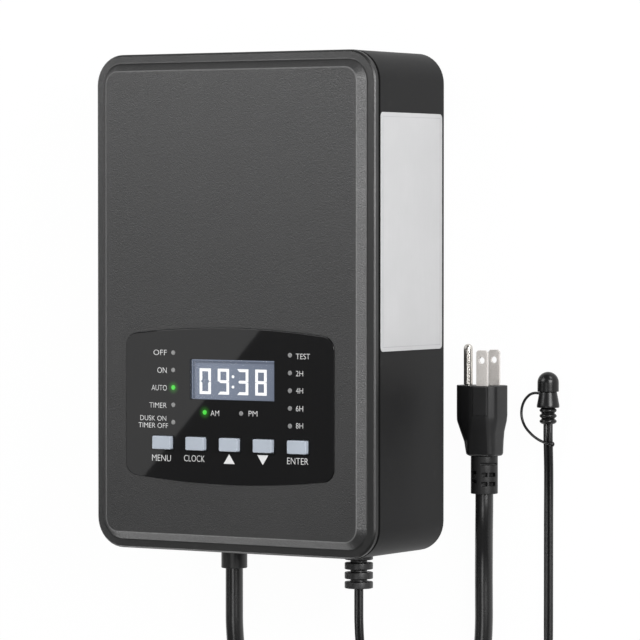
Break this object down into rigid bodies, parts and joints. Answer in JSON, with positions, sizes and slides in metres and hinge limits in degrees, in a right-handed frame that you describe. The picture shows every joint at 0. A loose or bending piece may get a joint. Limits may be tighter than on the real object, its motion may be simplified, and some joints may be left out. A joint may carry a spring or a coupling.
{
  "type": "low voltage landscape transformer",
  "caption": "Wall-mounted low voltage landscape lighting transformer in a sealed case, with timer keys, display, mains cord with plug and a photocell on its own cord.",
  "frame": {"origin": "middle of the flat back face that goes against the wall", "axes": "+X across the front to its right, +Y towards the top end when it hangs on a wall, +Z out of the front face; the part is stored lying on its back"},
  "size_m": [0.2975, 0.4528, 0.077],
  "materials": {
    "case": "dark grey moulded plastic, fine satin texture",
    "cover": "dark grey moulded plastic, fine grained texture",
    "seal": "soft black foam rubber",
    "steel": "zinc plated steel",
    "label": "silver grey blank label film",
    "fascia": "glossy black acrylic",
    "window": "clear display lens",
    "digits": "white lit strokes",
    "display": "blue grey lit display ground",
    "key": "pale blue grey moulded keys, satin",
    "plunger": "ivory nylon",
    "switch": "black switch housings",
    "light_off": "grey unlit light pipes",
    "light_on": "green lit light pipes",
    "board": "green solder mask",
    "relay": "blue relay case",
    "capacitor": "sleeved capacitors",
    "chip": "black thermoset",
    "core": "wound silicon steel strip",
    "copper": "varnished copper winding",
    "gland": "black nylon",
    "button": "white reset button",
    "plug": "black moulded plug, satin",
    "blade": "nickel plated brass",
    "cord": "black cord jacket, satin",
    "twin": "black twin cord, satin",
    "tie": "black hook and loop tie",
    "dome": "glossy black moulding",
    "cell": "photocell ceramic"
  },
  "bodies": {
    "box": {"rear_case": "case", "front_cover": "cover", "cover_gasket": "seal", "cover_screws": "steel", "rating_label": "label", "control_fascia": "fascia", "display_window": "window", "display_digits": "digits", "display_module": "display", "tact_switches": "switch", "indicator_lights_off": "light_off", "indicator_lights_on": "light_on", "timer_board": "board", "board_screws": "steel", "power_relay": "relay", "capacitors": "capacitor", "microcontroller": "chip", "toroid_core": "core", "toroid_winding": "copper", "toroid_pad_lower": "seal", "toroid_pad_upper": "seal", "toroid_clamp_plate": "steel", "toroid_bolt": "steel", "toroid_nut": "steel", "mains_gland": "gland", "mains_gland_nut": "gland", "sensor_strain_relief": "gland", "sensor_relief_clip": "steel", "breaker_body": "chip", "output_terminal_block": "chip", "terminal_plates": "steel", "terminal_screws": "steel", "plug_body": "plug", "plug_strain_relief": "plug", "plug_blades": "blade", "plug_ground_pin": "blade", "mains_cord_lead": "cord", "mains_cord_coil": "cord", "mains_cord_tail": "cord", "mains_coil_tie": "tie", "sensor_dome": "dome", "sensor_collar": "dome", "sensor_photocell": "cell", "sensor_strap": "dome", "sensor_cord_lead": "twin", "sensor_cord_coil": "twin", "sensor_cord_tail": "twin", "sensor_coil_tie": "tie"},
    "menu_key": {"key_menu": "key", "plunger_menu": "plunger"},
    "clock_key": {"key_clock": "key", "plunger_clock": "plunger"},
    "up_key": {"key_up": "key", "plunger_up": "plunger"},
    "down_key": {"key_down": "key", "plunger_down": "plunger"},
    "enter_key": {"key_enter": "key", "plunger_enter": "plunger"},
    "reset_button": {"breaker_button": "button"}
  },
  "joints": [
    {"name": "menu_press", "type": "slide", "parent": "box", "child": "menu_key", "axis": [0, 0, -1], "range_m": [0, 0.0008], "stiffness_N_per_m": 1500},
    {"name": "clock_press", "type": "slide", "parent": "box", "child": "clock_key", "axis": [0, 0, -1], "range_m": [0, 0.0008], "stiffness_N_per_m": 1500},
    {"name": "up_press", "type": "slide", "parent": "box", "child": "up_key", "axis": [0, 0, -1], "range_m": [0, 0.0008], "stiffness_N_per_m": 1500},
    {"name": "down_press", "type": "slide", "parent": "box", "child": "down_key", "axis": [0, 0, -1], "range_m": [0, 0.0008], "stiffness_N_per_m": 1500},
    {"name": "enter_press", "type": "slide", "parent": "box", "child": "enter_key", "axis": [0, 0, -1], "range_m": [0, 0.0008], "stiffness_N_per_m": 1500},
    {"name": "breaker_pop", "type": "slide", "parent": "box", "child": "reset_button", "axis": [0, -1, 0], "range_m": [0, 0.003], "stiffness_N_per_m": 400}
  ]
}
